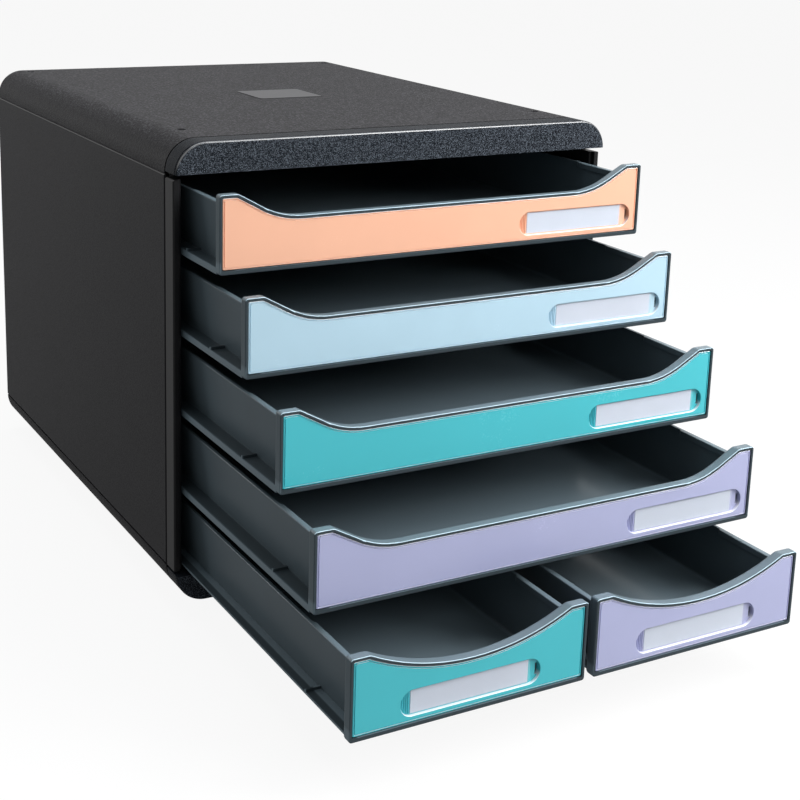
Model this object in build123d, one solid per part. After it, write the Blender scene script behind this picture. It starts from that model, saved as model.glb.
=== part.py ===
from build123d import *
import math
import os

# Case: outer sizes, X across, Y from front to back, Z up
case_width = 278.0
case_depth = 347.0
foot_height = 10.0
cover_radius = 17.5
cover_wall = 2.7
top_cover_height = 18.4
base_cover_height = 17.3
seam_gap = 0.9
panel_gap = 0.4
edge_bevel = 0.8
frame_depth = 15.6
frame_groove = 1.4
fascia_height = 17.1
fascia_wall = 2.7
fascia_round = 1.2
edge_line_back = 1.7
edge_line_width = 1.2
edge_line_depth = 1.0
cover_tongue_inset = 34.0
cover_tongue_reach = 9.0
cover_tongue_thick = 2.0
cover_rear_round = 1.5

# Front posts beside the drawers
post_width = 5.4
post_setback = 4.3
post_round = 1.1
post_inner_round = 0.5
post_step_wide = 1.9
post_step_back = 2.6
post_end_gap = 1.0

# Side liner with the drawer runners
skin_thick = 2.7
liner_thick = 2.1
liner_front_step = 0.4
ledge_thick = 2.0
ledge_reach = 8.2
ledge_rear_gap = 4.0
guide_reach = 2.8
guide_thick = 1.6
stop_block_reach = 6.2
stop_block_tall = 5.0
stop_block_front = 60.0
stop_block_long = 12.0
running_clearance = 0.3
guide_clearance = 0.6
stop_clearance = 0.4

# Rear panel
rear_thick = 2.7
rear_field_border = 14.0
rear_field_depth = 0.8
rear_field_round = 8.0

# Centre guide between the two half-width drawers
centre_web = 2.4

# Base stiffening ribs
base_rib_thick = 2.0
base_rib_height = 9.0

# Stacking sockets and emblem plate on the top
socket_side_inset = 21.0
socket_front_inset = 45.0
socket_rear_inset = 12.0
socket_radius = 2.1
socket_depth = 5.5
socket_bevel = 0.6
boss_radius = 5.0
boss_depth = 7.5
emblem_width = 44.0
emblem_length = 39.0
emblem_thick = 0.9
emblem_recess = 0.6
emblem_gap = 0.3
emblem_round = 2.0
emblem_front_inset = 169.0

# Rubber feet
foot_radius = 9.0
foot_tip_radius = 8.0
foot_plug_radius = 3.0
foot_plug_gap = 0.3
foot_plug_long = 2.4
foot_round = 0.8
foot_side_inset = 27.0
foot_front_inset = 50.0
foot_rear_inset = 29.0

# Drawer levels, counted from the top, and how far each level stands open
level_count = 5
level_gap = 4.0
top_level_gap = 2.8
lowest_bezel_gap = 0.3
opening_shares = (0.1763, 0.3061, 0.4708, 0.621, 0.7728)

# Drawer front: bezel with a scooped top edge
bezel_side_gap = 0.6
narrow_gap = 5.0
bezel_height = 41.5
bezel_depth = 7.0
bezel_corner = 1.6
bezel_front_round = 0.5
bezel_land_round = 2.6
wide_shoulder = 10.4
narrow_shoulder = 10.15
scoop_angle = math.radians(29.0)
scoop_radius_share = 3.545
shoulder_round = 3.4

# Coloured face plate in the bezel
rim_side = 1.8
rim_edge = 1.8
rim_foot = 2.5
plate_gap = 0.35
plate_thick = 3.2
plate_setback = 0.5
plate_corner = 0.9
plate_edge_round = 0.5
line_inset = 0.7
line_width = 0.5
line_depth = 0.5

# Label window in the face plate
window_long = 77.4
window_tall = 13.2
window_depth = 1.6
window_edge_round = 0.3
window_z = 12.1
window_side_margin = 6.2
window_top_margin = 9.4
slot_width = 2.2
slot_tall = 6.0
card_end_room = 12.4
card_edge_room = 1.4
card_thick = 0.3
card_shift = -0.2
cover_end_lap = 1.6
cover_edge_lap = 0.6
cover_thick = 0.5
cover_lift = 0.15

# Drawer tray
tray_rear_gap = 14.3
wall_thick = 2.2
wall_top_inset = 5.0
wall_foot_inset = 8.5
wall_drop = 6.4
front_lip_wide = 3.4
front_lip_tall = 3.0
front_lip_long = 50.0
front_lip_ramp = 4.0
tray_corner = 6.0
cavity_corner = 4.0
cavity_floor_round = 2.4
bezel_back_slope = 2.0
floor_top = 3.4
floor_thick = 2.0
lip_thick = 1.6
thin_flange = 1.0
stop_rib_y = 44.0
stop_rib_thick = 1.2
stop_rib_tall = 1.4
rear_tab_inset = 2.5
rear_tab_wide = 4.0
rear_tab_rear_gap = 4.0
rear_tab_long = 4.0
rear_tab_tall = 5.6
wall_top_round = 0.6

# Derived sizes of the drawers
wide_width = case_width - 2 * (post_width + bezel_side_gap)
narrow_width = (wide_width - narrow_gap) / 2
scoop_height = window_z + window_tall / 2 + window_top_margin
scoop_depth = bezel_height - scoop_height
wall_height = bezel_height - wall_drop
plate_back = plate_setback + plate_thick
flange_front = plate_back + plate_gap
card_long = window_long - card_end_room
card_tall = window_tall - card_edge_room
cover_long = card_long + cover_end_lap
cover_tall = card_tall + cover_edge_lap
window_wide_x = wide_width / 2 - window_side_margin - window_long / 2
narrow_x = (narrow_width + narrow_gap) / 2
tray_length = case_depth - rear_thick - tray_rear_gap
rear_tab_y = tray_length - rear_tab_rear_gap - rear_tab_long
travel = rear_tab_y - stop_clearance - stop_block_front - stop_block_long
openings = [share * travel for share in opening_shares]

# Derived positions in the case
level_pitch = bezel_height + level_gap
lowest_bezel_z = foot_height + base_cover_height + lowest_bezel_gap
drawers_top_z = lowest_bezel_z + level_count * level_pitch - level_gap
case_height = drawers_top_z + top_level_gap + fascia_height
body_height = case_height - foot_height
body_middle = foot_height + body_height / 2
half_width = case_width / 2
front_y = -(case_depth - max(openings)) / 2
rear_y = front_y + case_depth
frame_rear_y = front_y + frame_depth
panel_front_y = frame_rear_y + frame_groove
top_cover_z = case_height - top_cover_height
base_cover_z = foot_height + base_cover_height
skin_inner_x = half_width - skin_thick
liner_inner_x = skin_inner_x - liner_thick
liner_low_z = foot_height + cover_radius + running_clearance
liner_high_z = case_height - cover_radius - running_clearance
liner_rear_y = rear_y - rear_thick
floor_z = foot_height + cover_wall


def block(x0, x1, y0, y1, z0, z1):
    """A block between two opposite corners."""
    corner = (Align.MIN, Align.MIN, Align.MIN)
    return Pos(x0, y0, z0) * Box(x1 - x0, y1 - y0, z1 - z0, align=corner)


def prism(outline, y0, y1):
    """An X-Z outline pushed from y0 back to y1."""
    plane = Plane(origin=(0, y1, 0), x_dir=(1, 0, 0), z_dir=(0, -1, 0))
    return extrude(plane * outline, amount=y1 - y0)


def case_prism(inset, y0, y1):
    """The rounded case section, drawn in by inset, from y0 to y1."""
    section = RectangleRounded(
        case_width - 2 * inset, body_height - 2 * inset, cover_radius - inset
    )
    return prism(Pos(0, body_middle) * section, y0, y1)


def slab(z0, z1):
    """Everything of the case between two heights."""
    return block(-case_width, case_width, front_y - case_depth, rear_y + case_depth, z0, z1)


def level_z(level):
    """Bottom of the bezels on a level, where level 0 is the highest."""
    return lowest_bezel_z + (level_count - 1 - level) * level_pitch


def mirrored(shape):
    """The same piece for the other side of the case."""
    return mirror(shape, about=Plane.YZ)


def cover(z0, z1, seam_z, outer_z):
    """A cover half: rounded shell with a rear wall, liner seats and a tongue for the fascia."""
    slice_box = slab(z0, z1)
    outer = case_prism(0, panel_front_y, rear_y) & slice_box
    rear_edges = outer.faces().sort_by(Axis.Y)[-1].edges()
    keep = rear_edges.filter_by(lambda e: abs(e.center().Z - seam_z) > edge_bevel)
    outer = fillet(keep, cover_rear_round)
    inner = case_prism(cover_wall, panel_front_y - frame_depth, rear_y - cover_wall) & slice_box
    shell = outer - inner
    seat_z = liner_high_z if seam_z < outer_z else liner_low_z
    low, high = min(seat_z, outer_z), max(seat_z, outer_z)
    for side in (-1, 1):
        edge_a = side * skin_inner_x
        edge_b = side * liner_inner_x
        seat = block(
            min(edge_a, edge_b), max(edge_a, edge_b), panel_front_y, liner_rear_y, low, high
        )
        shell += seat & case_prism(0, panel_front_y, rear_y - cover_rear_round)
    inside_z = outer_z - cover_wall if seam_z < outer_z else outer_z + cover_wall
    far_z = inside_z - cover_tongue_thick if seam_z < outer_z else inside_z + cover_tongue_thick
    tongue = block(
        cover_tongue_inset - half_width,
        half_width - cover_tongue_inset,
        panel_front_y - cover_tongue_reach,
        panel_front_y + cover_tongue_reach,
        min(inside_z, far_z),
        max(inside_z, far_z),
    )
    return shell + tongue


def top_cover():
    """The top shell with stacking sockets and the recess for the emblem plate."""
    shell = cover(top_cover_z, case_height, top_cover_z, case_height)
    bottom = (Align.CENTER, Align.CENTER, Align.MAX)
    socket_x = half_width - socket_side_inset
    for x in (-socket_x, socket_x):
        for y in (front_y + socket_front_inset, rear_y - socket_rear_inset):
            spot = Pos(x, y, case_height - cover_wall / 2)
            shell += spot * Cylinder(boss_radius, boss_depth, align=bottom)
            top = Pos(x, y, case_height)
            shell -= top * Cylinder(socket_radius, socket_depth, align=bottom)
            shell -= top * Cone(socket_radius, socket_radius + socket_bevel, socket_bevel, align=bottom)
    recess = RectangleRounded(
        emblem_width + 2 * emblem_gap, emblem_length + 2 * emblem_gap, emblem_round + emblem_gap
    )
    place = Pos(0, front_y + emblem_front_inset, case_height - emblem_recess)
    return shell - place * extrude(recess, amount=emblem_recess)


def emblem_plate():
    """The plain plate let into the middle of the top."""
    outline = RectangleRounded(emblem_width, emblem_length, emblem_round)
    return Pos(0, front_y + emblem_front_inset, case_height - emblem_recess) * extrude(
        outline, amount=emblem_thick
    )


def foot_spots():
    """The four places of the feet in plan."""
    foot_x = half_width - foot_side_inset
    rows = (front_y + foot_front_inset, rear_y - foot_rear_inset)
    return [(x, y) for x in (-foot_x, foot_x) for y in rows]


def base_cover():
    """The bottom shell with stiffening ribs and holes for the plugs of the feet."""
    shell = cover(foot_height, base_cover_z, base_cover_z, foot_height)
    for x in (-narrow_x, narrow_x):
        shell += block(
            x - base_rib_thick / 2,
            x + base_rib_thick / 2,
            panel_front_y,
            liner_rear_y,
            floor_z,
            floor_z + base_rib_height,
        )
    for x, y in foot_spots():
        hole = Cylinder(foot_plug_radius + foot_plug_gap, 2 * cover_wall)
        shell -= Pos(x, y, floor_z - cover_wall / 2) * hole
    return shell


def fascia(z0, z1):
    """A front band of the case: a shell that is open to the back, with a fine line behind its soft edge."""
    outer = case_prism(0, front_y, frame_rear_y) & slab(z0, z1)
    inner_z = z0 if z0 > body_middle else z1
    front_edges = outer.faces().sort_by(Axis.Y)[0].edges()
    outer = fillet(
        front_edges.filter_by(lambda e: abs(e.center().Z - inner_z) > fascia_round), fascia_round
    )
    line_front = front_y + edge_line_back
    line_rear = line_front + edge_line_width
    outer -= case_prism(0, line_front, line_rear) - case_prism(edge_line_depth, line_front, line_rear)
    inner = case_prism(fascia_wall, front_y + fascia_wall, rear_y) & slab(
        z0 + fascia_wall, z1 - fascia_wall
    )
    return outer - inner


def front_post():
    """The left upright of the front frame, stepped back along its inner edge."""
    low = base_cover_z + post_end_gap
    high = top_cover_z - seam_gap - post_end_gap
    front = front_y + post_setback
    inner_x = post_width - half_width
    bar = block(-half_width, inner_x, front, frame_rear_y, low, high)
    top_edges = bar.faces().sort_by(Axis.Z)[-1].edges().filter_by(Axis.Y).sort_by(Axis.X)
    bar = chamfer(top_edges[0], edge_bevel)
    bar -= block(inner_x - post_step_wide, inner_x, front, front + post_step_back, low, high)
    front_edges = bar.faces().sort_by(Axis.Y)[0].edges().filter_by(Axis.Z).sort_by(Axis.X)
    bar = fillet(front_edges[-1], post_inner_round)
    front_edges = bar.faces().sort_by(Axis.Y)[0].edges().filter_by(Axis.Z).sort_by(Axis.X)
    bar = fillet(front_edges[0], post_round)
    step_edge = bar.faces().sort_by(Axis.X)[-1].edges().filter_by(Axis.Z).sort_by(Axis.Y)[0]
    return fillet(step_edge, post_inner_round)


def side_panel():
    """The left outer skin with bevelled edges along its seams."""
    skin = block(
        -half_width,
        -skin_inner_x,
        panel_front_y,
        rear_y,
        base_cover_z + panel_gap,
        top_cover_z - panel_gap,
    )
    return chamfer(skin.faces().sort_by(Axis.X)[0].edges(), edge_bevel)


def ledge_z(level):
    """Top of the runner ledge that carries a level."""
    lift = floor_top - thin_flange if level == level_count - 1 else 0
    return level_z(level) + lift - running_clearance


def runner(level, wall_x, toward):
    """Ledge, upper guide and stop block of one runner, reaching from wall_x to its drawer."""
    z = level_z(level)
    guide_low = z + floor_top + guide_clearance
    start = frame_rear_y + liner_front_step
    end = liner_rear_y - ledge_rear_gap
    guide_front = front_y + stop_rib_y + stop_rib_thick + stop_clearance
    block_front = front_y + stop_block_front

    def shelf(reach, y0, y1, z0, z1):
        far = wall_x + toward * reach
        return block(min(wall_x, far), max(wall_x, far), y0, y1, z0, z1)

    ledge = shelf(ledge_reach, start, end, ledge_z(level) - ledge_thick, ledge_z(level))
    guide = shelf(guide_reach, guide_front, end, guide_low, guide_low + guide_thick)
    stop = shelf(
        stop_block_reach,
        block_front,
        block_front + stop_block_long,
        guide_low,
        guide_low + stop_block_tall,
    )
    return ledge + guide + stop


def runner_liner():
    """The left inner wall that carries the runners of every level."""
    liner = block(
        -skin_inner_x, -liner_inner_x, frame_rear_y, liner_rear_y, liner_low_z, liner_high_z
    )
    for level in range(level_count):
        liner += runner(level, -liner_inner_x, 1)
    return liner


def centre_guide():
    """The upright between the half-width drawers, with a runner on both of its sides."""
    level = level_count - 1
    top = level_z(level) + floor_top + guide_clearance + stop_block_tall
    guide = block(
        -centre_web / 2,
        centre_web / 2,
        frame_rear_y + liner_front_step,
        liner_rear_y,
        floor_z,
        top,
    )
    guide -= block(
        -centre_web,
        centre_web,
        front_y,
        panel_front_y + cover_tongue_reach + running_clearance,
        floor_z,
        floor_z + cover_tongue_thick + running_clearance,
    )
    for toward in (-1, 1):
        guide += runner(level, toward * centre_web / 2, toward)
    return guide


def rear_panel():
    """The back of the case, with a shallow sunk field."""
    low = base_cover_z
    high = top_cover_z
    panel = block(-skin_inner_x, skin_inner_x, liner_rear_y, rear_y, low, high)
    field = RectangleRounded(
        2 * (skin_inner_x - rear_field_border), high - low - 2 * rear_field_border, rear_field_round
    )
    place = Pos(0, (low + high) / 2) * field
    return panel - prism(place, rear_y - rear_field_depth, rear_y)


def foot():
    """A tapered rubber foot with a plug for the hole in the base."""
    bottom = (Align.CENTER, Align.CENTER, Align.MIN)
    body = Cone(foot_tip_radius, foot_radius, foot_height, align=bottom)
    body = fillet(body.faces().sort_by(Axis.Z)[0].edges(), foot_round)
    plug = Cylinder(foot_plug_radius, foot_plug_long, align=bottom)
    return body + Pos(0, 0, foot_height) * plug


def rubber_feet():
    """All four feet."""
    return Compound([Pos(x, y, 0) * foot() for x, y in foot_spots()])


def round_corners(outline, points, radius):
    """Rounds the corners of an outline that lie at the given points."""

    def listed(vertex):
        gaps = [math.hypot(vertex.X - x, vertex.Y - z) for x, z in points]
        return min(gaps) < bezel_corner / 2

    return fillet(outline.vertices().filter_by(listed), radius)


def wide_outline(side, rim, foot_rim, corner, shoulder):
    """Front of a full-width drawer, drawn in at its sides, top and foot: flat scoop between two slopes."""
    half = wide_width / 2 - side
    top = bezel_height - rim
    low = scoop_height - rim
    shoulder_x = wide_width / 2 - wide_shoulder + rim * math.tan(scoop_angle / 2)
    foot_end = shoulder_x - (top - low) / math.tan(scoop_angle)
    right = [(half, foot_rim), (half, top), (shoulder_x, top), (foot_end, low)]
    left = [(-x, z) for x, z in reversed(right)]
    outline = make_face(Polyline(*right, *left, close=True))
    outline = round_corners(outline, [right[3], left[0]], scoop_radius_share * scoop_depth + rim)
    outline = round_corners(outline, [right[2], left[1]], shoulder)
    return round_corners(outline, [right[0], right[1], left[2], left[3]], corner)


def narrow_outline(side, rim, foot_rim, corner, shoulder):
    """Front of a half-width drawer, drawn in at its sides, top and foot: one long arc as its scoop."""
    half = narrow_width / 2 - side
    top = bezel_height - rim
    chord = narrow_width / 2 - narrow_shoulder
    scoop_radius = (chord**2 + scoop_depth**2) / (2 * scoop_depth)
    centre_z = scoop_height + scoop_radius
    shoulder_x = math.sqrt((scoop_radius + rim) ** 2 - (centre_z - top) ** 2)
    right = [(half, foot_rim), (half, top), (shoulder_x, top)]
    left = [(-x, z) for x, z in reversed(right)]
    frame = Polyline(*left, *right)
    scoop = ThreePointArc(right[2], (0, scoop_height - rim), left[0])
    outline = make_face(frame + scoop)
    outline = round_corners(outline, [right[2], left[0]], shoulder)
    return round_corners(outline, [right[0], right[1], left[1], left[2]], corner)


def bezel(outline):
    """The front of a tray: rounded land along the scoop and a pocket for the face plate."""
    body = prism(outline(0, 0, 0, bezel_corner, shoulder_round), 0, bezel_depth)
    back = body.faces().sort_by(Axis.Y)[-1].edges()
    land = back.filter_by(lambda e: e.center().Z > scoop_height - rim_edge)
    inside = land.filter_by(lambda e: abs(e.center().X) < body.bounding_box().max.X - rim_edge)
    body = fillet(inside, bezel_land_round)
    front = body.faces().sort_by(Axis.Y)[0].edges()
    body = fillet(front, bezel_front_round)
    insets = (rim_side - plate_gap, rim_edge - plate_gap, rim_foot - plate_gap)
    pocket = outline(*insets, plate_corner, plate_corner)
    return body - prism(pocket, 0, plate_back)


def tapered(foot_half, top_half, front_low, front_high, rear_low, rear_high, z0, z1, corner):
    """A block with rounded corners whose plan grows from z0 to z1."""

    def plan(half, y0, y1, z):
        return Pos(0, (y0 + y1) / 2, z) * RectangleRounded(2 * half, y1 - y0, corner)

    low = plan(foot_half, front_low, rear_low, z0)
    high = plan(top_half, front_high, rear_high, z1)
    return loft(Sketch() + [low, high], ruled=True)


def front_lip(half):
    """The thicker top of the right wall next to the bezel, where half is the outside of the wall."""
    inner = half - front_lip_wide
    root = half - wall_thick / 2
    outline = make_face(
        Polyline(
            (root, bezel_depth),
            (inner, bezel_depth),
            (inner, front_lip_long),
            (root, front_lip_long + front_lip_ramp),
            close=True,
        )
    )
    return Pos(0, 0, wall_height - front_lip_tall) * extrude(outline, amount=front_lip_tall)


def soft_tops(walls):
    """Rounds the edges along the tops of the walls, inside and outside."""
    top = walls.faces().sort_by(Axis.Z)[-1]
    along = top.edges().filter_by(lambda e: e.center().Y > bezel_depth + wall_top_round)
    return fillet(along, wall_top_round)


def tray_walls(width):
    """Floor and drafted walls behind the bezel, with soft inside corners."""
    foot_half = width / 2 - wall_foot_inset
    top_half = width / 2 - wall_top_inset
    slope = wall_foot_inset - wall_top_inset
    floor_low = floor_top - floor_thick
    shell = tapered(
        foot_half,
        top_half,
        bezel_front_round,
        bezel_front_round,
        tray_length - slope,
        tray_length,
        floor_low,
        wall_height,
        tray_corner,
    )
    shell -= block(-width, width, 0, bezel_depth, 0, bezel_height)
    rise = bezel_height - floor_top
    spread = slope * rise / (wall_height - floor_low)
    lean = slope * floor_thick / (wall_height - floor_low)
    front_lean = bezel_back_slope * rise / (scoop_height - bezel_land_round - floor_top)
    inner_half = foot_half - wall_thick + lean
    inner_front = bezel_depth + bezel_back_slope
    inner_rear = tray_length - slope - wall_thick + lean
    cavity = tapered(
        inner_half,
        inner_half + spread,
        inner_front,
        inner_front - front_lean,
        inner_rear,
        inner_rear + spread,
        floor_top,
        bezel_height,
        cavity_corner,
    )
    cavity = fillet(cavity.faces().sort_by(Axis.Z)[0].edges(), cavity_floor_round)
    lip = front_lip(top_half)
    return soft_tops(shell - cavity + lip + mirrored(lip))


def tray(width, outline, lip):
    """A drawer tray, front at y = 0 and bezel bottom at z = 0."""
    half = width / 2
    flange_low = floor_top - floor_thick if lip else floor_top - thin_flange
    made = tray_walls(width) + bezel(outline)
    made += block(-half, half, flange_front, tray_length, flange_low, floor_top)
    for side in (-1, 1):
        made += flange_details(side, half, half - wall_foot_inset, lip)
    return made


def flange_details(side, half, foot_half, lip):
    """Turned-down lip, closing stop rib and rear stop tab on one flange."""

    def strip(a, b, y0, y1, z0, z1):
        return block(min(side * a, side * b), max(side * a, side * b), y0, y1, z0, z1)

    rib_end = stop_rib_y + stop_rib_thick
    made = strip(
        foot_half, half, stop_rib_y, rib_end, floor_top - thin_flange, floor_top + stop_rib_tall
    )
    tab_outer = half - rear_tab_inset
    made += strip(
        tab_outer - rear_tab_wide,
        tab_outer,
        rear_tab_y,
        rear_tab_y + rear_tab_long,
        floor_top - thin_flange,
        floor_top + rear_tab_tall,
    )
    if lip:
        made += strip(half - lip_thick, half, flange_front, tray_length, 0, floor_top)
    return made


def face_plate(outline, window_x):
    """The coloured plate: eased edge, fine line inside the edge and a sunk label window."""

    def ring(inset):
        insets = (rim_side + inset, rim_edge + inset, rim_foot + inset)
        return outline(*insets, plate_corner, plate_corner)

    front = plate_setback
    plate = prism(ring(0), front, plate_back)
    plate = fillet(plate.faces().sort_by(Axis.Y)[0].edges(), plate_edge_round)
    outer = prism(ring(line_inset), front, front + line_depth)
    inner = prism(ring(line_inset + line_width), front, front + line_depth)
    plate -= outer - inner
    window = Pos(window_x, window_z) * SlotOverall(window_long, window_tall)
    plate -= prism(window, front, front + window_depth)
    rim = plate.edges().filter_by(
        lambda e: abs(e.center().Z - window_z) <= window_tall / 2 + window_edge_round
        and abs(e.center().X - window_x) <= window_long / 2 + window_edge_round
        and abs(e.center().Y - front) < window_edge_round / 2
    )
    plate = fillet(rim, window_edge_round)
    window_end = window_x + window_long / 2
    slot = Pos(window_end - slot_width / 2, window_z) * Rectangle(slot_width, slot_tall)
    return plate - prism(window & slot, front + window_depth, plate_back)


def label_piece(window_x, long, tall, thick, lift):
    """A flat strip on the floor of the label window, lift above it."""
    floor_y = plate_setback + window_depth
    middle = window_x + card_shift
    return block(
        middle - long / 2,
        middle + long / 2,
        floor_y - lift - thick,
        floor_y - lift,
        window_z - tall / 2,
        window_z + tall / 2,
    )


def save(shape, name):
    """Writes one node."""
    export_step(shape, os.path.join("parts", name + ".step"))


def drawer_set(width, outline, window_x, lip):
    """The four pieces of a drawer in its own frame."""
    return {
        "tray": tray(width, outline, lip),
        "face_plate": face_plate(outline, window_x),
        "label_card": label_piece(window_x, card_long, card_tall, card_thick, 0),
        "label_cover": label_piece(
            window_x, cover_long, cover_tall, cover_thick, card_thick + cover_lift
        ),
    }


def main():
    os.makedirs("parts", exist_ok=True)
    save(top_cover(), "top_cover")
    save(emblem_plate(), "emblem_plate")
    save(base_cover(), "base_cover")
    save(fascia(case_height - fascia_height, case_height), "top_fascia")
    save(fascia(foot_height, lowest_bezel_z - seam_gap), "base_fascia")
    sides = {"side_panel": side_panel, "front_post": front_post, "runner_liner": runner_liner}
    for name, make in sides.items():
        left = make()
        save(left, "left_" + name)
        save(mirrored(left), "right_" + name)
    save(centre_guide(), "centre_guide")
    save(rear_panel(), "rear_panel")
    save(rubber_feet(), "rubber_feet")
    wide = drawer_set(wide_width, wide_outline, window_wide_x, True)
    narrow = drawer_set(narrow_width, narrow_outline, 0, False)
    drawers = [(wide, 0, level) for level in range(level_count - 1)]
    drawers += [(narrow, -narrow_x, level_count - 1), (narrow, narrow_x, level_count - 1)]
    for number, (pieces, x, level) in enumerate(drawers, start=1):
        place = Pos(x, front_y - openings[level], level_z(level))
        for name, shape in pieces.items():
            save(place * shape, f"drawer_{number}_{name}")


if __name__ == "__main__":
    main()
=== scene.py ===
"""Looks of the desktop drawer unit: finishes, label ribs, studio and camera round the CAD frame."""

from __future__ import annotations

import logging
import math
from abc import ABC, abstractmethod
from collections.abc import Mapping
from dataclasses import dataclass, field
from enum import Enum
from typing import Any, Union

import bmesh
import bpy
from mathutils import Matrix, Vector


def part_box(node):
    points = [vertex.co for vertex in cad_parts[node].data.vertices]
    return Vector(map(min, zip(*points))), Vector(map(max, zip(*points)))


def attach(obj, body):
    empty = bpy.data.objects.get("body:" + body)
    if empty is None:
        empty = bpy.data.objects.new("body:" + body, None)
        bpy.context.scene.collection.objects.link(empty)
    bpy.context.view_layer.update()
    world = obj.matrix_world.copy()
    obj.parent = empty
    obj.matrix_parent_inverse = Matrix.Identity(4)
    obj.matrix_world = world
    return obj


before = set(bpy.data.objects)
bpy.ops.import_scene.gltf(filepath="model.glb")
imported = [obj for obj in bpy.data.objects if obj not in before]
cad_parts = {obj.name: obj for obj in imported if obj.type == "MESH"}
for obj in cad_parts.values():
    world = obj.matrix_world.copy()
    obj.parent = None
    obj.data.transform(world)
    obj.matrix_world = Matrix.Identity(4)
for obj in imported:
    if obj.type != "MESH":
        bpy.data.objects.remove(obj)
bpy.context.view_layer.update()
IMAGE_SIDE = 800
MM = 0.001

log = logging.getLogger("drawer_unit")
Colour = tuple[float, float, float]
Point = tuple[float, float, float]
Span = tuple[float, float]  # values between which a mask rises or falls, or two tones of a colour
Stops = list[tuple[float, float]]  # places along a ramp and its results there
Sockets = dict[Union[str, int], Any]  # constants and links by socket name or number
Operand = Union["Value", float]
Tint = Union[Colour, bpy.types.NodeSocket]

WHITE: Colour = (1.0, 1.0, 1.0)
COOL_WHITE: Colour = (0.92, 0.97, 1.0)

# Sockets that Blender gives the same name, by their numbers: a colour Mix and a Mix Shader.
MIX_FACTOR, MIX_FIRST, MIX_SECOND, MIX_RESULT = 0, 6, 7, 2
SHADER_FACTOR, SHADER_FIRST, SHADER_SECOND = 0, 1, 2


def shade(colour: Colour, factor: float) -> Colour:
    """A colour made darker or lighter by a factor."""
    return (colour[0] * factor, colour[1] * factor, colour[2] * factor)


def grey(level: float) -> Colour:
    """A neutral colour."""
    return (level, level, level)


def opaque(colour: Colour) -> tuple[float, float, float, float]:
    """A colour in the form that a node's socket takes."""
    return (*colour, 1.0)


class Axis(Enum):
    """The axes of the object, by the names of their sockets."""

    X = "X"
    Y = "Y"
    Z = "Z"


class PlateColour(Enum):
    """Colours of the drawer fronts, as linear red, green and blue."""

    PEACH = (0.90, 0.49, 0.33)
    LIGHT_BLUE = (0.46, 0.66, 0.78)
    TURQUOISE = (0.052, 0.50, 0.57)
    LAVENDER = (0.42, 0.44, 0.66)


@dataclass(frozen=True)
class Pattern:
    """A soft noise: the size of its largest features in metres, and its finer layers."""

    size: float
    layers: float
    layer_strength: float


class Value:
    """A number socket that takes part in Python expressions; each operator adds a Math node."""

    def __init__(self, graph: Graph, socket: bpy.types.NodeSocket) -> None:
        """Wraps an output socket of a graph."""
        self.graph = graph
        self.socket = socket

    def _math(self, operation: str, first: Operand, second: Operand) -> Value:
        """Adds a Math node.

        Args:
            operation: Blender's name of the operation.
            first: first operand.
            second: second operand.

        Returns:
            The node's result.
        """
        settings = {"operation": operation}
        node = self.graph.node("ShaderNodeMath", settings, {0: first, 1: second})
        return Value(self.graph, node.outputs[0])

    def __add__(self, other: Operand) -> Value:
        """Sum."""
        return self._math("ADD", self, other)

    def __radd__(self, other: Operand) -> Value:
        """Sum with a number on the left."""
        return self._math("ADD", other, self)

    def __sub__(self, other: Operand) -> Value:
        """Difference."""
        return self._math("SUBTRACT", self, other)

    def __rsub__(self, other: Operand) -> Value:
        """Difference from a number on the left."""
        return self._math("SUBTRACT", other, self)

    def __mul__(self, other: Operand) -> Value:
        """Product."""
        return self._math("MULTIPLY", self, other)

    def __rmul__(self, other: Operand) -> Value:
        """Product with a number on the left."""
        return self._math("MULTIPLY", other, self)

    def __neg__(self) -> Value:
        """The value with its sign changed."""
        return 0.0 - self

    def __abs__(self) -> Value:
        """Size without sign."""
        return self._math("ABSOLUTE", self, 0.0)

    def most(self, other: Operand) -> Value:
        """The larger of two values."""
        return self._math("MAXIMUM", self, other)

    def swing(self, width: float) -> Value:
        """A value from 0 to 1, stretched to a width that lies evenly about zero."""
        return width * (self - 0.5)


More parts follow.
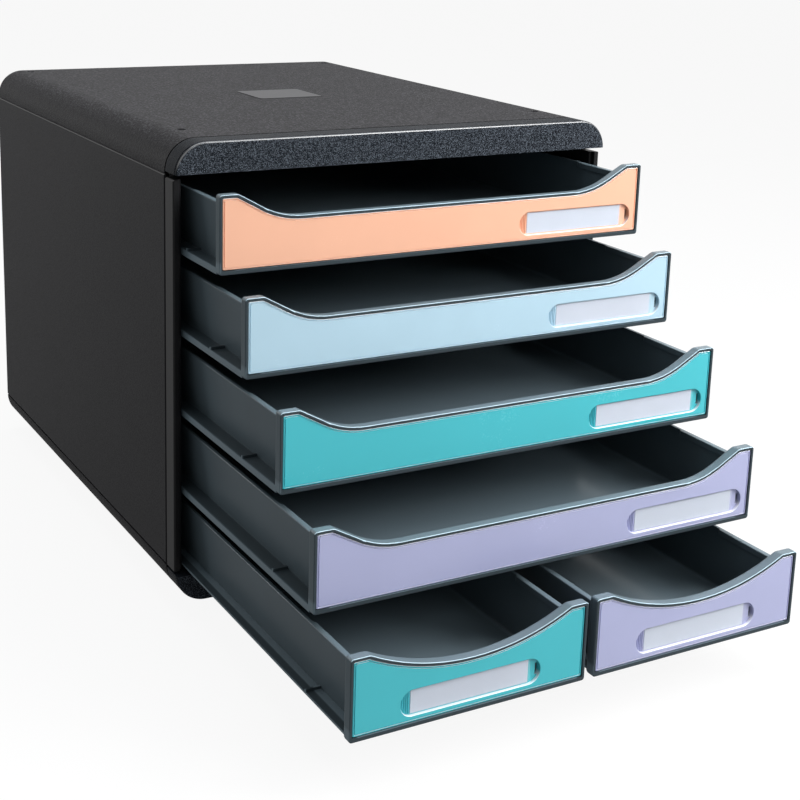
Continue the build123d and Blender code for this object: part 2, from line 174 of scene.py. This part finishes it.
@dataclass
class Graph:
    """The node graph of one material or of the world."""

    tree: bpy.types.NodeTree

    @classmethod
    def for_material(cls, name: str) -> tuple[bpy.types.Material, Graph]:
        """Makes an empty material.

        Args:
            name: name of the material.

        Returns:
            The material and its graph.
        """
        material = bpy.data.materials.new(name)
        material.use_nodes = True
        material.node_tree.nodes.clear()
        return material, cls(material.node_tree)

    def node(
        self,
        kind: str,
        settings: Mapping[str, Any] | None = None,
        inputs: Mapping[str | int, Any] | None = None,
    ) -> bpy.types.Node:
        """Adds a node.

        Args:
            kind: Blender's type name of the node.
            settings: properties that are set first; "stops" holds a ramp's (place, value) pairs.
            inputs: constants or links by socket name or number.

        Returns:
            The new node.
        """
        made = self.tree.nodes.new(kind)
        for key, value in (settings or {}).items():
            if key == "stops":
                self._set_stops(made, value)
            else:
                setattr(made, key, value)
        for key, value in (inputs or {}).items():
            if isinstance(value, Value):
                self.tree.links.new(value.socket, made.inputs[key])
            elif isinstance(value, bpy.types.NodeSocket):
                self.tree.links.new(value, made.inputs[key])
            else:
                made.inputs[key].default_value = value
        return made

    @staticmethod
    def _set_stops(ramp: bpy.types.Node, stops: Stops) -> None:
        """Sets the stops of a grey ramp.

        Args:
            ramp: a Color Ramp node.
            stops: places and grey values, at least two.
        """
        elements = ramp.color_ramp.elements
        while len(elements) < len(stops):
            elements.new(1.0)
        for element, (place, value) in zip(elements, stops):
            element.position = place
            element.color = opaque(grey(value))

    def coordinates(self) -> bpy.types.NodeSocket:
        """Places on the object, in metres, that travel with it."""
        return self.node("ShaderNodeTexCoord").outputs["Object"]

    def _along(self, axis: Axis, output: str) -> Value:
        """Takes one axis of a texture coordinate.

        Args:
            axis: the axis.
            output: name of the coordinate's socket.

        Returns:
            That axis of the coordinate.
        """
        whole = self.node("ShaderNodeTexCoord").outputs[output]
        parts = self.node("ShaderNodeSeparateXYZ", None, {"Vector": whole})
        return Value(self, parts.outputs[axis.value])

    def facing(self, axis: Axis) -> Value:
        """How squarely the surface faces along an axis of its object, from -1 to 1."""
        return self._along(axis, "Normal")

    def share(self, axis: Axis) -> Value:
        """Where a point lies between the ends of its own piece, from 0 to 1."""
        return self._along(axis, "Generated")

    def noise(self, pattern: Pattern) -> Value:
        """Adds a soft noise.

        Args:
            pattern: its size and layers.

        Returns:
            The noise, about 0 to 1.
        """
        made = self.node(
            "ShaderNodeTexNoise",
            {"noise_dimensions": "3D"},
            {
                "Vector": self.coordinates(),
                "Scale": 1.0 / pattern.size,
                "Detail": pattern.layers,
                "Roughness": pattern.layer_strength,
            },
        )
        return Value(self, made.outputs["Fac"])

    def cells(self, size: float) -> tuple[Value, Value]:
        """Scatters points, as in a pebbled grain.

        Args:
            size: mean size of a cell, in metres.

        Returns:
            The distance to the nearest point, in cells, and that cell's own value from 0 to 1.
        """
        made = self.node(
            "ShaderNodeTexVoronoi",
            {"feature": "F1"},
            {"Vector": self.coordinates(), "Scale": 1.0 / size},
        )
        lot = self.node("ShaderNodeSeparateColor", None, {"Color": made.outputs["Color"]})
        return Value(self, made.outputs["Distance"]), Value(self, lot.outputs["Red"])

    def ramp(self, value: Value, stops: Stops) -> Value:
        """Bends a value through pairs of a place and a result."""
        made = self.node("ShaderNodeValToRGB", {"stops": stops}, {"Fac": value})
        return Value(self, made.outputs["Color"])

    def rise(self, value: Value, span: Span) -> Value:
        """Zero before a span of values, one after it."""
        return self.ramp(value, [(span[0], 0.0), (span[1], 1.0)])

    def fall(self, value: Value, span: Span) -> Value:
        """One before a span of values, zero after it."""
        return self.ramp(value, [(span[0], 1.0), (span[1], 0.0)])

    def band(self, value: Value, rise: Span, fall: Span) -> Value:
        """One between two spans of values, zero outside them."""
        stops = [(rise[0], 0.0), (rise[1], 1.0), (fall[0], 1.0), (fall[1], 0.0)]
        return self.ramp(value, stops)

    def blend(self, factor: Value, first: Tint, second: Tint) -> bpy.types.NodeSocket:
        """Mixes two colours.

        Args:
            factor: 0 for the first colour, 1 for the second.
            first: linear colour, or the result of another blend.
            second: linear colour, or the result of another blend.

        Returns:
            The mixed colour.
        """
        ends = [opaque(tint) if isinstance(tint, tuple) else tint for tint in (first, second)]
        inputs = {MIX_FACTOR: factor, MIX_FIRST: ends[0], MIX_SECOND: ends[1]}
        made = self.node("ShaderNodeMix", {"data_type": "RGBA"}, inputs)
        return made.outputs[MIX_RESULT]

    def mottle(self, factor: Value, colour: Colour, tones: Span) -> bpy.types.NodeSocket:
        """Varies a colour between a darker and a lighter tone of it."""
        return self.blend(factor, shade(colour, tones[0]), shade(colour, tones[1]))

    def bump(self, height: Value, depth: float) -> bpy.types.NodeSocket:
        """Turns a height into a normal.

        Args:
            height: height from 0 to 1.
            depth: what a height of 1 means, in metres.

        Returns:
            The bent normal.
        """
        inputs = {"Height": height, "Distance": depth, "Strength": 1.0}
        made = self.node("ShaderNodeBump", None, inputs)
        return made.outputs["Normal"]

    def surface(self, inputs: Sockets) -> None:
        """Ends the graph in one Principled surface with these sockets."""
        shader = self.node("ShaderNodeBsdfPrincipled", None, inputs)
        self.node("ShaderNodeOutputMaterial", None, {"Surface": shader.outputs["BSDF"]})

    def mix_shaders(
        self, factor: Operand | bpy.types.NodeSocket, first: bpy.types.Node, second: bpy.types.Node
    ) -> bpy.types.Node:
        """Mixes two shaders: a factor of 0 gives the first, 1 the second."""
        ends = {SHADER_FIRST: first.outputs[0], SHADER_SECOND: second.outputs[0]}
        return self.node("ShaderNodeMixShader", None, {SHADER_FACTOR: factor, **ends})


class Finish(ABC):
    """A procedural finish."""

    @abstractmethod
    def sockets(self, graph: Graph) -> Sockets:
        """Works out what the surface's sockets hold.

        Args:
            graph: where the nodes go.

        Returns:
            Constants and links by socket name.
        """

    def material(self, name: str) -> bpy.types.Material:
        """Makes a material that has this finish.

        Args:
            name: name of the material.

        Returns:
            The material.
        """
        material, graph = Graph.for_material(name)
        graph.surface(self.sockets(graph))
        return material


@dataclass(frozen=True)
class GrainedPlastic(Finish):
    """Moulded plastic with a pebbled grain on the main face of a piece, which looks along one axis.

    Some pebbles on the main face take a lighter colour, partly the grain's own speckle and partly
    painted glints, which are painted highlights. The edges above the main face are left smooth by
    the mould and shine, and faces that close a seam towards the front get painted shade. Cell and
    depth are in metres, and the fine and the cloudy pattern are sized in cells.
    """

    colour: Colour
    speckle_and_glint: Colour
    cell: float
    depth: float
    roughness: float
    specular: float
    face: Axis
    speckle_and_glint_share: float = 0.3
    painted_seam_shade: float = 1.0
    edge_shine: float = 0.0
    edge_roughness: float = 0.2
    edge_ior: float = 2.0
    pebble_dome: Span = (0.1, 0.75)
    pebble_height: float = 0.75
    pebble_roughness: float = 0.10
    fine_cells: float = 0.45
    cloud_cells: float = 40.0
    cloud_weight: float = 0.4
    tones: Span = (0.8, 1.2)
    tone_span: Span = (0.3, 0.7)
    face_span: Span = (0.55, 0.95)
    seam_span: Span = (0.75, 0.95)
    edge_start: Span = (0.3, 0.45)
    edge_end: Span = (0.9, 0.97)
    edge_lift: Span = (0.12, 0.3)

    def sockets(self, graph: Graph) -> Sockets:
        """Works out what the surface's sockets hold.

        Args:
            graph: where the nodes go.

        Returns:
            Constants and links by socket name.
        """
        distance, lot = graph.cells(self.cell)
        pebble = graph.fall(distance, self.pebble_dome)
        fine = graph.noise(Pattern(self.cell * self.fine_cells, layers=2.0, layer_strength=0.6))
        cloud = graph.noise(Pattern(self.cell * self.cloud_cells, layers=3.0, layer_strength=0.5))
        main_face = graph.rise(abs(graph.facing(self.face)), self.face_span)
        # Painted glints: chosen pebbles on the main face take a lighter colour, partly the grain's
        # own speckle and partly painted highlights.
        speckled_and_glinting = graph.rise(lot, (1.0 - self.speckle_and_glint_share, 1.0)) * pebble * main_face
        # Painted shade on the faces that close a seam towards the front, so the gap between parts
        # reads dark.
        seam = graph.rise(-graph.facing(Axis.Y), self.seam_span)
        clouded = cloud * self.cloud_weight + fine * (1.0 - self.cloud_weight)
        body = graph.mottle(graph.rise(clouded, self.tone_span), self.colour, self.tones)
        body = graph.blend(seam, body, shade(self.colour, self.painted_seam_shade))
        height = pebble * self.pebble_height + fine * (1.0 - self.pebble_height)
        held: Sockets = {
            "Base Color": graph.blend(speckled_and_glinting, body, self.speckle_and_glint),
            "Roughness": self.roughness - pebble.swing(self.pebble_roughness),
            "Specular IOR Level": self.specular,
            "Normal": graph.bump(height, self.depth),
        }
        if self.edge_shine > 0.0:
            held["Coat Weight"] = self._edges(graph) * self.edge_shine
            held["Coat Roughness"] = self.edge_roughness
            held["Coat IOR"] = self.edge_ior
        return held

    def _edges(self, graph: Graph) -> Value:
        """Marks the rounds and bevels above the main face with one."""
        slant = graph.band(abs(graph.facing(self.face)), self.edge_start, self.edge_end)
        return slant * graph.rise(graph.facing(Axis.Z), self.edge_lift)


@dataclass(frozen=True)
class SatinPlastic(Finish):
    """Smooth moulded plastic with a faint flow pattern and small scuffs."""

    colour: Colour
    roughness: float
    specular: float
    flow: Pattern = Pattern(45 * MM, layers=3.0, layer_strength=0.55)
    fine: Pattern = Pattern(0.7 * MM, layers=2.0, layer_strength=0.6)
    flow_span: Span = (0.25, 0.75)
    tones: Span = (0.92, 1.08)
    flow_roughness: float = 0.06
    fine_roughness: float = 0.05
    depth: float = 0.02 * MM

    def sockets(self, graph: Graph) -> Sockets:
        """Works out what the surface's sockets hold.

        Args:
            graph: where the nodes go.

        Returns:
            Constants and links by socket name.
        """
        flow = graph.noise(self.flow)
        fine = graph.noise(self.fine)
        scuffs = flow.swing(self.flow_roughness)
        return {
            "Base Color": graph.mottle(graph.rise(flow, self.flow_span), self.colour, self.tones),
            "Roughness": self.roughness + scuffs + fine.swing(self.fine_roughness),
            "Specular IOR Level": self.specular,
            "Normal": graph.bump(fine, self.depth),
        }


@dataclass(frozen=True)
class TrayPlastic(SatinPlastic):
    """Slate grey plastic of the trays: matt walls, painted shade on what faces the front, and on
    what faces up the shine of handling and painted light.

    The ledges that run in the case get painted shade on top and painted light along their outer
    lip. The round along the top of the bezel gets a painted highlight. Places are shares of the
    tray's own box.
    """

    colour: Colour = (0.077, 0.103, 0.119)
    roughness: float = 0.36
    specular: float = 0.08
    shine: float = 0.5
    shine_roughness: float = 0.16
    painted_top_light: float = 1.8
    painted_front_shade: float = 0.58
    painted_ledge_shade: float = 0.55
    painted_lip_light: float = 1.7
    painted_brow_highlight: float = 6.5
    upward_span: Span = (0.4, 0.85)
    front_span: Span = (0.5, 0.85)
    ledge_top: Span = (0.13, 0.18)
    ledge_start: Span = (0.466, 0.470)
    lip_start: Span = (0.496, 0.498)
    brow_depth: Span = (0.03, 0.04)
    brow_start: Span = (0.25, 0.45)
    brow_end: Span = (0.85, 0.95)
    brow_lift: Span = (0.2, 0.45)

    def sockets(self, graph: Graph) -> Sockets:
        """Works out what the surface's sockets hold.

        Args:
            graph: where the nodes go.

        Returns:
            Constants and links by socket name.
        """
        plain = super().sockets(graph)
        upward = graph.rise(graph.facing(Axis.Z), self.upward_span)
        painted_front = graph.rise(-graph.facing(Axis.Y), self.front_span)
        ledge, lip = self._ledges(graph)
        painted_top_light_and_coat = upward * (1.0 - ledge)
        # Painted shade on what faces the front and on top of the ledges, painted light on what
        # faces up and along the ledges' outer lips, and a painted highlight along the bezel's top
        # round.
        layers = (
            (painted_front, self.painted_front_shade),
            (painted_top_light_and_coat, self.painted_top_light),
            (ledge * upward, self.painted_ledge_shade),
            (self._painted_brow(graph), self.painted_brow_highlight),
            (lip, self.painted_lip_light),
        )
        colour = plain["Base Color"]
        for mask, factor in layers:
            colour = graph.blend(mask, colour, shade(self.colour, factor))
        return {
            **plain,
            "Base Color": colour,
            "Coat Weight": painted_top_light_and_coat * self.shine,
            "Coat Roughness": self.shine_roughness,
        }

    def _ledges(self, graph: Graph) -> tuple[Value, Value]:
        """Marks the ledges at the sides of the tray, whose tops get painted shade and whose outer
        lips get painted light.

        Args:
            graph: where the nodes go.

        Returns:
            One on the ledges, and one on their outer lips.
        """
        off_middle = abs(graph.share(Axis.X) - 0.5)
        low = graph.fall(graph.share(Axis.Z), self.ledge_top)
        ledge = graph.rise(off_middle, self.ledge_start) * low
        return ledge, graph.rise(off_middle, self.lip_start) * low

    def _painted_brow(self, graph: Graph) -> Value:
        """Marks the round along the top of the bezel, where a painted highlight goes.

        Args:
            graph: where the nodes go.

        Returns:
            One on that round, zero elsewhere.
        """
        slant = graph.band(-graph.facing(Axis.Y), self.brow_start, self.brow_end)
        front_end = graph.fall(graph.share(Axis.Y), self.brow_depth)
        return slant * front_end * graph.rise(graph.facing(Axis.Z), self.brow_lift)


@dataclass(frozen=True)
class GlossFront(Finish):
    """Glossy coloured plastic of a drawer front, slightly wavy, with a painted highlight along its
    upper edges.
    """

    colour: PlateColour
    roughness: float = 0.26
    wave: Pattern = Pattern(30 * MM, layers=2.0, layer_strength=0.5)
    fine: Pattern = Pattern(0.9 * MM, layers=2.0, layer_strength=0.5)
    wave_span: Span = (0.25, 0.75)
    wave_height: float = 0.7
    wave_roughness: float = 0.05
    fine_roughness: float = 0.03
    tones: Span = (0.975, 1.02)
    depth: float = 0.03 * MM
    coat: float = 0.25
    coat_roughness: float = 0.12
    edge_span: Span = (0.12, 0.45)
    painted_highlight: float = 0.8
    painted_highlight_colour: Colour = (0.95, 0.96, 1.0)

    def sockets(self, graph: Graph) -> Sockets:
        """Works out what the surface's sockets hold.

        Args:
            graph: where the nodes go.

        Returns:
            Constants and links by socket name.
        """
        wave = graph.noise(self.wave)
        fine = graph.noise(self.fine)
        tone = graph.rise(wave, self.wave_span)
        face = graph.mottle(tone, self.colour.value, self.tones)
        highlight_and_coat_edge = graph.rise(graph.facing(Axis.Z), self.edge_span)
        waviness = wave.swing(self.wave_roughness)
        height = wave * self.wave_height + fine * (1.0 - self.wave_height)
        return {
            # Painted highlight: the upper edges blend towards a near-white colour; the same edges
            # also get more coat.
            "Base Color": graph.blend(highlight_and_coat_edge * self.painted_highlight, face, self.painted_highlight_colour),
            "Roughness": self.roughness + waviness + fine.swing(self.fine_roughness),
            "Coat Weight": self.coat + (1.0 - self.coat) * highlight_and_coat_edge,
            "Coat Roughness": self.coat_roughness,
            "Normal": graph.bump(height, self.depth),
        }


@dataclass(frozen=True)
class LabelPaper(Finish):
    """Uncoated white card with fine fibres."""

    colour: Colour = (0.58, 0.63, 0.72)
    fibre: Pattern = Pattern(0.6 * MM, layers=4.0, layer_strength=0.7)
    cloud: Pattern = Pattern(20 * MM, layers=2.0, layer_strength=0.5)
    fibre_weight: float = 0.5
    tone_span: Span = (0.3, 0.7)
    tones: Span = (0.95, 1.03)
    roughness: float = 0.72
    fibre_roughness: float = 0.1
    depth: float = 0.03 * MM

    def sockets(self, graph: Graph) -> Sockets:
        """Works out what the surface's sockets hold.

        Args:
            graph: where the nodes go.

        Returns:
            Constants and links by socket name.
        """
        fibre = graph.noise(self.fibre)
        cloud = graph.noise(self.cloud)
        clouded = fibre * self.fibre_weight + cloud * (1.0 - self.fibre_weight)
        return {
            "Base Color": graph.mottle(
                graph.rise(clouded, self.tone_span), self.colour, self.tones
            ),
            "Roughness": self.roughness + fibre.swing(self.fibre_roughness),
            "Normal": graph.bump(fibre, self.depth),
        }


@dataclass(frozen=True)
class ClearFilm(Finish):
    """Thin clear film over a label, with faint handling marks."""

    clear: Colour = (0.86, 0.88, 0.94)
    marked: Colour = (0.95, 0.96, 1.0)
    marks: Pattern = Pattern(12 * MM, layers=3.0, layer_strength=0.6)
    roughness: float = 0.10
    mark_roughness: float = 0.10
    alpha: float = 0.05
    mark_alpha: float = 0.03

    def sockets(self, graph: Graph) -> Sockets:
        """Works out what the surface's sockets hold.

        Args:
            graph: where the nodes go.

        Returns:
            Constants and links by socket name.
        """
        marks = graph.noise(self.marks)
        return {
            "Base Color": graph.blend(marks, self.clear, self.marked),
            "Roughness": self.roughness + self.mark_roughness * marks,
            "Alpha": self.alpha + self.mark_alpha * marks,
        }


@dataclass(frozen=True)
class FootRubber(Finish):
    """Soft black rubber with a dusty bloom."""

    colour: Colour = (0.018, 0.018, 0.019)
    dust: Pattern = Pattern(4 * MM, layers=4.0, layer_strength=0.65)
    fine: Pattern = Pattern(0.6 * MM, layers=2.0, layer_strength=0.5)
    bloom: float = 2.2
    roughness: float = 0.78
    dust_roughness: float = 0.12
    depth: float = 0.06 * MM

    def sockets(self, graph: Graph) -> Sockets:
        """Works out what the surface's sockets hold.

        Args:
            graph: where the nodes go.

        Returns:
            Constants and links by socket name.
        """
        dust = graph.noise(self.dust)
        return {
            "Base Color": graph.blend(dust, self.colour, shade(self.colour, self.bloom)),
            "Roughness": self.roughness + dust.swing(self.dust_roughness),
            "Normal": graph.bump(graph.noise(self.fine), self.depth),
        }


def dress_node(node: str, material: bpy.types.Material) -> None:
    """Gives a CAD node its material.

    Args:
        node: name of the node.
        material: its finish.
    """
    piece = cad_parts[node]
    if not piece.material_slots:
        piece.data.materials.append(material)
    for slot in piece.material_slots:
        slot.material = material
    log.info("dressed %s with %s", node, material.name)


@dataclass
class Case:
    """The black case: covers, fascias, posts, skins, liners, back, feet and the plate on top."""

    covers: Finish = GrainedPlastic(
        colour=(0.0120, 0.0117, 0.0132),
        speckle_and_glint=(0.090, 0.087, 0.098),
        cell=1.2 * MM,
        depth=0.20 * MM,
        roughness=0.54,
        specular=0.060,
        face=Axis.Z,
        speckle_and_glint_share=0.6,
        painted_seam_shade=0.1,
    )
    fascias: Finish = GrainedPlastic(
        colour=(0.0095, 0.0115, 0.0150),
        speckle_and_glint=(0.190, 0.222, 0.266),
        cell=0.5 * MM,
        depth=0.16 * MM,
        roughness=0.42,
        specular=0.03,
        face=Axis.Y,
        speckle_and_glint_share=0.9,
        edge_shine=1.0,
    )
    panels: Finish = GrainedPlastic(
        colour=(0.0105, 0.0103, 0.0118),
        speckle_and_glint=(0.019, 0.019, 0.021),
        cell=0.8 * MM,
        depth=0.05 * MM,
        roughness=0.50,
        specular=0.075,
        face=Axis.X,
        painted_seam_shade=0.1,
        edge_shine=0.3,
    )
    posts: Finish = SatinPlastic(colour=(0.013, 0.013, 0.014), roughness=0.40, specular=0.11)
    runners: Finish = SatinPlastic(colour=(0.012, 0.012, 0.013), roughness=0.45, specular=0.25)
    emblem: Finish = SatinPlastic(colour=(0.048, 0.048, 0.051), roughness=0.42, specular=0.10)
    feet: Finish = FootRubber()

    def nodes(self) -> dict[str, tuple[Finish, tuple[str, ...]]]:
        """The finish and the CAD nodes of each material of the case."""
        return {
            "case_pebble_grain": (self.covers, ("top_cover", "base_cover")),
            "fascia_speckle_grain": (self.fascias, ("top_fascia", "base_fascia")),
            "panel_fine_grain": (
                self.panels,
                ("left_side_panel", "right_side_panel", "rear_panel"),
            ),
            "post_satin": (self.posts, ("left_front_post", "right_front_post")),
            "runner_satin": (
                self.runners,
                ("left_runner_liner", "right_runner_liner", "centre_guide"),
            ),
            "emblem_gloss": (self.emblem, ("emblem_plate",)),
            "foot_rubber": (self.feet, ("rubber_feet",)),
        }

    def dress(self) -> None:
        """Gives every piece of the case its finish."""
        for name, (finish, nodes) in self.nodes().items():
            material = finish.material(name)
            for node in nodes:
                dress_node(node, material)


@dataclass
class Drawer:
    """One drawer: tray, coloured front, label and the fine ribs at the end of its label window.

    A rib reaches over a share of the window's height where it stands.
    """

    number: int
    colour: PlateColour
    tray: bpy.types.Material
    front: bpy.types.Material
    paper: bpy.types.Material
    film: bpy.types.Material
    rib_count: int = 4
    rib_steps: int = 6
    rib_width: float = 0.45 * MM
    rib_height: float = 0.45 * MM
    rib_pitch: float = 1.05 * MM
    rib_gap: float = 1.0 * MM
    rib_reach: float = 0.93
    window_tall: float = 13.2 * MM
    window_end: float = 6.0 * MM

    @property
    def body(self) -> str:
        """Name of the drawer's CAD body."""
        return f"drawer_{self.number}"

    def dress(self) -> None:
        """Gives the drawer's CAD pieces their finish."""
        dress_node(f"{self.body}_tray", self.tray)
        dress_node(f"{self.body}_face_plate", self.front)
        dress_node(f"{self.body}_label_card", self.paper)
        dress_node(f"{self.body}_label_cover", self.film)

    def build_ribs(self) -> bpy.types.Object:
        """Builds the fine upright ribs on the floor of the label window, left of the card.

        Returns:
            The ribs as one object that rides on the drawer.
        """
        low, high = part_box(f"{self.body}_label_card")
        floor_y = high.y
        middle_z = (low.z + high.z) / 2
        radius = self.window_tall / 2
        mesh = bmesh.new()
        for count in range(self.rib_count):
            right = low.x - self.rib_gap - count * self.rib_pitch
            off_centre = max(radius - self.window_end + (low.x - right), 0.0)
            half = math.sqrt(max(radius**2 - off_centre**2, 0.0)) * self.rib_reach
            self._add_rib(mesh, right, floor_y, middle_z, half)
        data = bpy.data.meshes.new(f"{self.body}_label_ribs")
        mesh.to_mesh(data)
        mesh.free()
        ribs = bpy.data.objects.new(f"{self.body}_label_ribs", data)
        bpy.context.scene.collection.objects.link(ribs)
        ribs.data.materials.append(self.front)
        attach(ribs, self.body)
        log.info("built %s with %d ribs", ribs.name, self.rib_count)
        return ribs

    def _add_rib(
        self, mesh: bmesh.types.BMesh, right: float, floor_y: float, middle: float, half: float
    ) -> None:
        """Adds one rib with a rounded top.

        Args:
            mesh: where the rib is added.
            right: x of its right side.
            floor_y: y of the window's floor.
            middle: z of its middle.
            half: half of its length.
        """
        profile = []
        for step in range(self.rib_steps + 1):
            angle = math.pi * step / self.rib_steps
            x = right - self.rib_width / 2 + math.cos(angle) * self.rib_width / 2
            y = floor_y - math.sin(angle) * self.rib_height
            profile.append((x, y))
        lower, upper = (
            [mesh.verts.new((x, y, middle + sign * half)) for x, y in profile] for sign in (-1, 1)
        )
        count = len(profile)
        for index in range(count):
            following = (index + 1) % count
            mesh.faces.new((lower[index], lower[following], upper[following], upper[index]))
        mesh.faces.new(list(reversed(lower)))
        mesh.faces.new(upper)
        bmesh.ops.recalc_face_normals(mesh, faces=mesh.faces)


@dataclass
class Lamp:
    """A soft rectangular studio lamp: places and sizes in metres, power in watts."""

    name: str
    place: Point
    width: float
    height: float
    power: float
    target: Point = (0.0, -0.05, 0.13)
    colour: Colour = WHITE

    def hang(self) -> bpy.types.Object:
        """Hangs the lamp in the studio.

        Returns:
            The lamp.
        """
        data = bpy.data.lights.new(self.name, "AREA")
        data.shape = "RECTANGLE"
        data.size = self.width
        data.size_y = self.height
        data.energy = self.power
        data.color = self.colour
        lamp = bpy.data.objects.new(self.name, data)
        bpy.context.scene.collection.objects.link(lamp)
        lamp.location = self.place
        aim = Vector(self.target) - Vector(self.place)
        lamp.rotation_euler = aim.to_track_quat("-Z", "Y").to_euler()
        log.info("hung lamp %s", self.name)
        return lamp


@dataclass
class Studio:
    """White floor, white surround and soft lamps.

    The floor and the surround look white and light the object less than they seem to. Mirrored rays
    see a part of the floor's glow.
    """

    floor_side: float = 40.0
    floor_glow: float = 0.91
    floor_white: float = 0.92
    floor_bounce: float = 0.32
    floor_mirrored: float = 0.42
    surround: float = 0.30
    lamps: list[Lamp] = field(default_factory=list)

    def build(self) -> None:
        """Builds the floor, the surround and the lamps."""
        self._floor()
        self._world()
        for lamp in self.lamps:
            lamp.hang()

    @staticmethod
    def _seen(graph: Graph, mirrored: float = 1.0) -> Value:
        """Marks rays that show the background: straight, mirrored or through something clear.

        Args:
            graph: where the nodes go.
            mirrored: weight of the mirrored rays.

        Returns:
            One for those rays, zero for others.
        """
        path = graph.node("ShaderNodeLightPath")
        camera = Value(graph, path.outputs["Is Camera Ray"])
        glossy = Value(graph, path.outputs["Is Glossy Ray"])
        clear = Value(graph, path.outputs["Is Transmission Ray"])
        return camera.most(glossy * mirrored).most(clear)

    def _floor(self) -> None:
        """Lays the floor; it looks white and still takes the object's shadow."""
        half = self.floor_side / 2
        data = bpy.data.meshes.new("studio_floor")
        corners = [(-half, -half, 0.0), (half, -half, 0.0), (half, half, 0.0), (-half, half, 0.0)]
        data.from_pydata(corners, [], [(0, 1, 2, 3)])
        floor = bpy.data.objects.new("studio_floor", data)
        bpy.context.scene.collection.objects.link(floor)
        data.materials.append(self._floor_material())
        log.info("laid %s", floor.name)

    def _floor_material(self) -> bpy.types.Material:
        """Makes the floor's material: white to the camera, darker to the light that it bounces.

        Returns:
            The material.
        """
        material, graph = Graph.for_material("floor_white")
        bounced, shown = (
            graph.node("ShaderNodeBsdfDiffuse", None, {"Color": opaque(grey(level))})
            for level in (self.floor_bounce, self.floor_white)
        )
        lit = {"Color": opaque(WHITE), "Strength": 1.0}
        glow = graph.node("ShaderNodeEmission", None, lit)
        camera = graph.node("ShaderNodeLightPath").outputs["Is Camera Ray"]
        matt = graph.mix_shaders(camera, bounced, shown)
        glowing = self._seen(graph, self.floor_mirrored) * self.floor_glow
        both = graph.mix_shaders(glowing, matt, glow)
        graph.node("ShaderNodeOutputMaterial", None, {"Surface": both.outputs[0]})
        return material

    def _world(self) -> None:
        """Sets a white surround that lights softly and shows as white."""
        world = bpy.data.worlds.new("studio_surround")
        bpy.context.scene.world = world
        world.use_nodes = True
        world.node_tree.nodes.clear()
        graph = Graph(world.node_tree)
        strength = self._seen(graph) * (1.0 - self.surround) + self.surround
        lit = {"Color": opaque(WHITE), "Strength": strength}
        glow = graph.node("ShaderNodeBackground", None, lit)
        graph.node("ShaderNodeOutputWorld", None, {"Surface": glow.outputs[0]})
        log.info("set %s", world.name)


@dataclass
class Viewpoint:
    """The camera, as fitted to the photograph: degrees, a place in metres and a lens in pixels."""

    azimuth: float = -29.05
    elevation: float = 13.32
    roll: float = 1.57
    place: Point = (-0.42106, -0.79566, 0.39500)
    focal_pixels: float = 1489.1
    centre_pixel: tuple[float, float] = (370.0, 256.0)
    film_mm: float = 36.0
    nearest: float = 0.05
    farthest: float = 100.0

    def set_up(self) -> bpy.types.Object:
        """Makes the camera the scene's camera.

        Returns:
            The camera.
        """
        data = bpy.data.cameras.new("photo_camera")
        data.sensor_width = self.film_mm
        data.lens = self.focal_pixels / IMAGE_SIDE * self.film_mm
        data.shift_x = 0.5 - self.centre_pixel[0] / IMAGE_SIDE
        data.shift_y = self.centre_pixel[1] / IMAGE_SIDE - 0.5
        data.clip_start = self.nearest
        data.clip_end = self.farthest
        camera = bpy.data.objects.new("photo_camera", data)
        bpy.context.scene.collection.objects.link(camera)
        camera.matrix_world = Matrix.Translation(self.place) @ self._axes()
        bpy.context.scene.camera = camera
        log.info("camera stands at %s", self.place)
        return camera

    def _axes(self) -> Matrix:
        """Works out the camera's turn.

        Returns:
            Its right, upper and rear directions as the columns of a matrix.
        """
        turn, lift, tilt = (math.radians(a) for a in (self.azimuth, self.elevation, self.roll))
        ahead = math.cos(lift)
        back = Vector((math.sin(turn) * ahead, -math.cos(turn) * ahead, math.sin(lift)))
        level = Vector((0.0, 0.0, 1.0)).cross(back).normalized()
        upright = back.cross(level)
        right = math.cos(tilt) * level + math.sin(tilt) * upright
        above = math.cos(tilt) * upright - math.sin(tilt) * level
        return Matrix((right, above, back)).transposed().to_4x4()


def drawer_colours() -> list[PlateColour]:
    """Colours of the fronts, from the top drawer down and then from left to right."""
    return [
        PlateColour.PEACH,
        PlateColour.LIGHT_BLUE,
        PlateColour.TURQUOISE,
        PlateColour.LAVENDER,
        PlateColour.TURQUOISE,
        PlateColour.LAVENDER,
    ]


def studio_lamps() -> list[Lamp]:
    """The lamps of the studio."""
    return [
        Lamp("key_softbox", (0.74, -0.72, 0.62), width=0.45, height=0.45, power=9.8),
        Lamp("edge_softbox", (0.45, -0.50, 0.95), width=0.40, height=0.40, power=5.0),
        Lamp(
            "overhead_softbox",
            (0.1, 0.2, 1.5),
            width=1.2,
            height=1.2,
            power=10.0,
            colour=COOL_WHITE,
        ),
        Lamp("front_fill", (0.30, -1.5, 1.00), width=1.0, height=0.5, power=4.5),
        Lamp(
            "left_fill",
            (-1.2, 1.3, 0.50),
            width=0.5,
            height=0.5,
            power=6.5,
            target=(-0.14, 0.15, 0.24),
        ),
    ]


def main() -> None:
    """Builds the scene."""
    logging.basicConfig(level=logging.INFO, format="%(name)s: %(message)s")
    bpy.context.scene.view_settings.view_transform = "Standard"
    Viewpoint().set_up()
    Studio(lamps=studio_lamps()).build()
    Case().dress()
    tray = TrayPlastic().material("tray_slate")
    paper = LabelPaper().material("label_paper")
    film = ClearFilm().material("label_film")
    fronts = {
        colour: GlossFront(colour).material(f"front_{colour.name.lower()}")
        for colour in PlateColour
    }
    for number, colour in enumerate(drawer_colours(), start=1):
        drawer = Drawer(number, colour, tray, fronts[colour], paper, film)
        drawer.dress()
        drawer.build_ribs()


if __name__ == "__main__":
    main()
